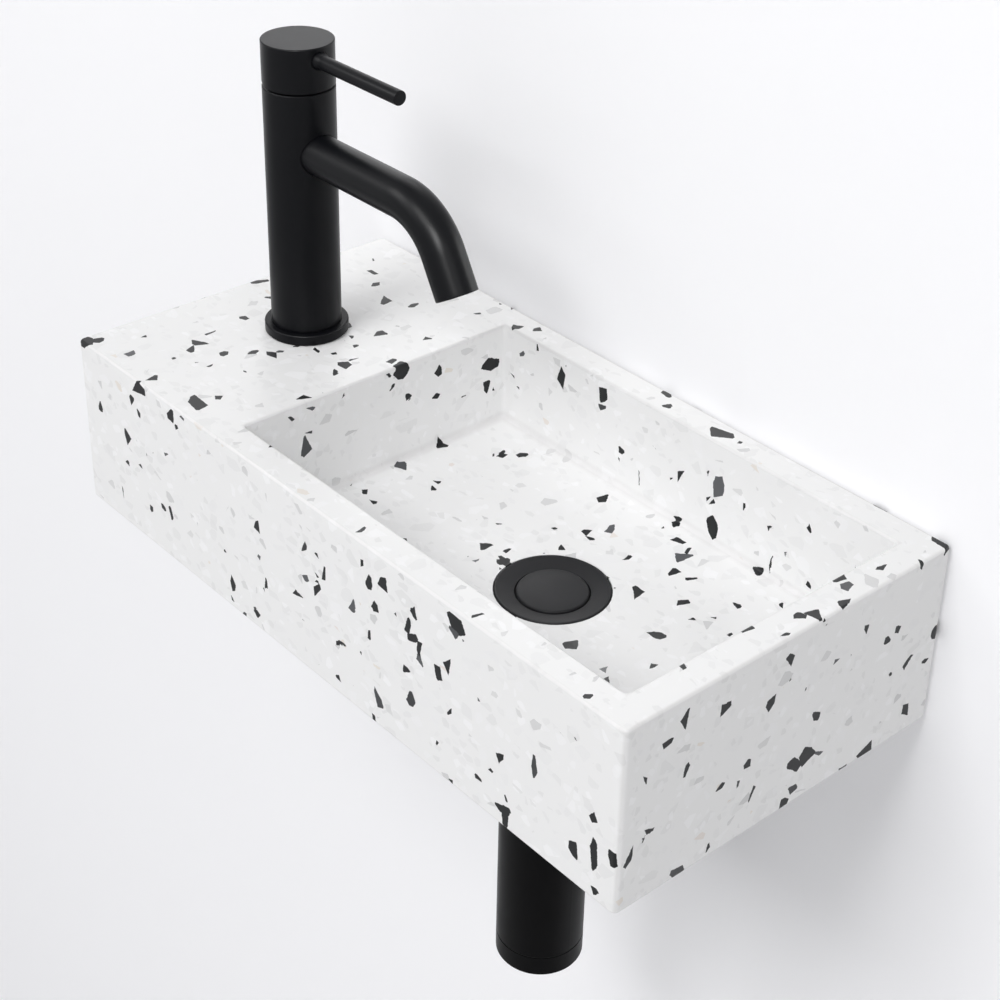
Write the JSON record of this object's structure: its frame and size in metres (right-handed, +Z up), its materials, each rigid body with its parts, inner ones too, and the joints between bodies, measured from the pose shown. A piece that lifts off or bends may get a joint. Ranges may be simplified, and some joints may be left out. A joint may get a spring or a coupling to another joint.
{
  "type": "hand basin",
  "caption": "Wall-hung rectangular stone-composite hand basin with a side ledge, pin-lever mixer tap, click waste and bottle trap.",
  "frame": {"origin": "midway between the mouths of the two wall fixing holes, on the basin's back face", "axes": "+Z up, +Y into the wall, +X to the right for someone who faces the basin"},
  "size_m": [0.45, 0.22, 0.4958],
  "materials": {
    "terrazzo": "honed, satin",
    "tap_black": "satin black coating",
    "waste_grey": "matte dark grey coating",
    "trap_black": "satin black coating",
    "black_plastic": "matte",
    "cartridge_plastic": "matte",
    "brass": "turned",
    "steel": "turned",
    "rubber": "matte"
  },
  "bodies": {
    "basin": {"basin_block": "terrazzo", "tap_base_seal": "rubber", "tap_base_ring": "tap_black", "tap_body": "tap_black", "spout": "tap_black", "aerator_housing": "black_plastic", "aerator_screen": "black_plastic", "cartridge": "cartridge_plastic", "cartridge_nut": "tap_black", "tap_shank": "brass", "shank_seal": "rubber", "shank_plate": "steel", "shank_nut": "brass", "waste_body": "waste_grey", "waste_seal": "rubber", "click_barrel": "brass", "waste_washer": "rubber", "waste_backnut": "black_plastic", "trap_inlet_nut": "trap_black", "inlet_seal": "rubber", "inlet_tube": "trap_black", "trap_body_nut": "trap_black", "trap_body_seal": "rubber", "trap_body": "trap_black", "trap_side_neck": "trap_black", "trap_cup": "trap_black", "cup_seal": "rubber", "outlet_nut": "trap_black", "outlet_seal": "rubber", "outlet_pipe": "trap_black", "wall_rosette": "trap_black"},
    "handle_turn": {"stem_carrier": "brass", "pivot_pin": "steel"},
    "handle_lift": {"stem_blade": "brass", "handle_cap": "tap_black", "lever_pin": "tap_black", "grub_screw": "steel"},
    "plug": {"plug_cap": "waste_grey", "plug_seal": "rubber", "click_stem": "steel"}
  },
  "joints": [
    {"name": "lever_turn", "type": "hinge", "parent": "basin", "child": "handle_turn", "pos_m": [-0.155, -0.11, 0.2412], "axis": [0, 0, 1], "range_deg": [-50, 50]},
    {"name": "lever_lift", "type": "hinge", "parent": "handle_turn", "child": "handle_lift", "pos_m": [-0.155, -0.11, 0.2412], "axis": [0, -1, 0], "range_deg": [0, 18]},
    {"name": "plug_click", "type": "slide", "parent": "basin", "child": "plug", "axis": [0, 0, 1], "range_m": [0, 0.008]}
  ]
}
